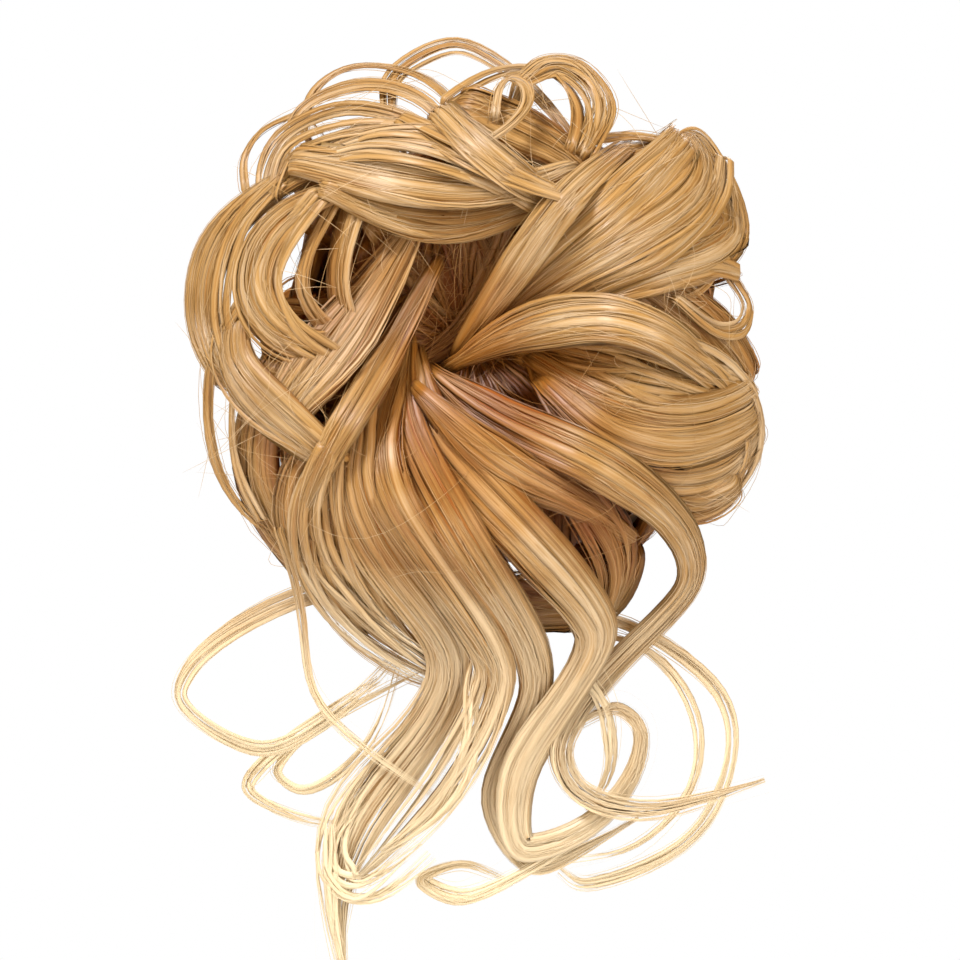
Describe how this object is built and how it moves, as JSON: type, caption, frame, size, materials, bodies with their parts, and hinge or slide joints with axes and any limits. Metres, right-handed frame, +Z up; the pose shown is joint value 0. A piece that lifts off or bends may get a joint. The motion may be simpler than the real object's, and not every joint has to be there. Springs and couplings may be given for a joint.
{
  "type": "top knot hairpiece",
  "caption": "Messy bun hairpiece on an elastic tie: a pocket for the wearer's own knot, looped curls over it, and long wavy tendrils below.",
  "frame": {"origin": "middle of the elastic tie, on the plane where it sits against the head", "axes": "+Z up, +Y towards the head, so that the bun stands out along -Y and the tendrils hang along -Z"},
  "size_m": [0.1749, 0.0787, 0.2768],
  "materials": {
    "tie": "covered elastic, matt",
    "weft": "sewn hair ends, matt",
    "hair": "smooth synthetic hair, glossy along its strands"
  },
  "bodies": {
    "root": {"elastic_tie": "tie", "weft": "weft", "hair_mass": "hair", "back_curl_1": "hair", "back_curl_2": "hair", "back_curl_3": "hair", "back_curl_4": "hair", "back_curl_5": "hair", "back_curl_6": "hair", "back_curl_7": "hair", "back_curl_8": "hair", "back_curl_9": "hair", "hollow_left_lock": "hair", "hollow_right_lock": "hair", "left_rim_curl": "hair", "left_rim_fold": "hair", "left_ring_curl": "hair", "left_under_locks": "hair", "left_long_loop": "hair", "left_fan": "hair", "left_fold": "hair", "left_dart": "hair", "lower_bowl_lock": "hair", "lower_right_lock": "hair", "right_arc_tendril": "hair", "left_great_loop": "hair", "left_low_loop": "hair", "left_thin_tendril": "hair", "first_tendril": "hair", "second_tendril": "hair", "third_tendril": "hair", "low_loop_tendril": "hair", "fourth_tendril": "hair", "inner_curl_tendril": "hair", "under_ribbon_lock": "hair", "right_back_lock": "hair", "right_low_curl": "hair", "right_high_curl": "hair", "fifth_tendril": "hair", "centre_lock": "hair", "ear_loop": "hair", "right_fan_low": "hair", "right_fan": "hair", "right_rim_arch": "hair", "bridge_wisp": "hair", "fan_inner": "hair", "right_ribbon": "hair", "high_arch": "hair", "left_high_arch": "hair", "left_low_arch": "hair", "crown_right_lock": "hair", "broad_arch": "hair", "crown_sweep": "hair", "crown_under_sweep": "hair", "crown_diagonal": "hair", "upper_curl": "hair", "hook_curl": "hair"}
  },
  "joints": []
}
